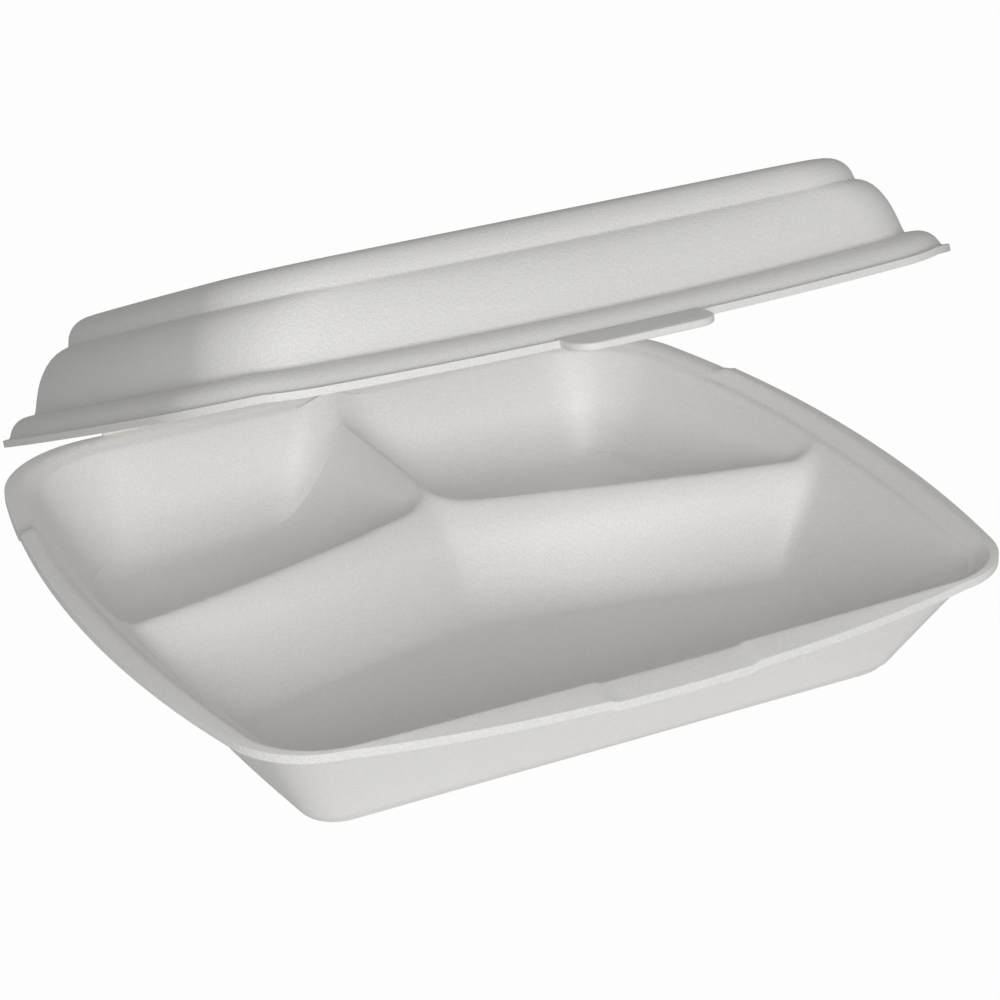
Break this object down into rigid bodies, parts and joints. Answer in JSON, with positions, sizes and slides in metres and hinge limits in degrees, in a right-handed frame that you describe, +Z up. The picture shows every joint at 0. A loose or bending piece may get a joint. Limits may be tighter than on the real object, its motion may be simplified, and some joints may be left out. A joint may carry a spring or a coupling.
{
  "type": "hinged foam meal box",
  "caption": "Hinged meal box of white foamed polystyrene with a front compartment, two rear compartments and a tab on the lid.",
  "frame": {"origin": "middle of the tray's underside, on the table", "axes": "+X along the hinge, +Y towards the hinge, +Z up"},
  "size_m": [0.24, 0.222, 0.1437],
  "materials": {
    "foam": "matte"
  },
  "bodies": {
    "tray": {"tray": "foam"},
    "lid": {"lid": "foam"}
  },
  "joints": [
    {"name": "lid_hinge", "type": "hinge", "parent": "tray", "child": "lid", "pos_m": [0, 0.1113, 0.0369], "axis": [-1, 0, 0], "range_deg": [-22.6, 156.5]}
  ]
}
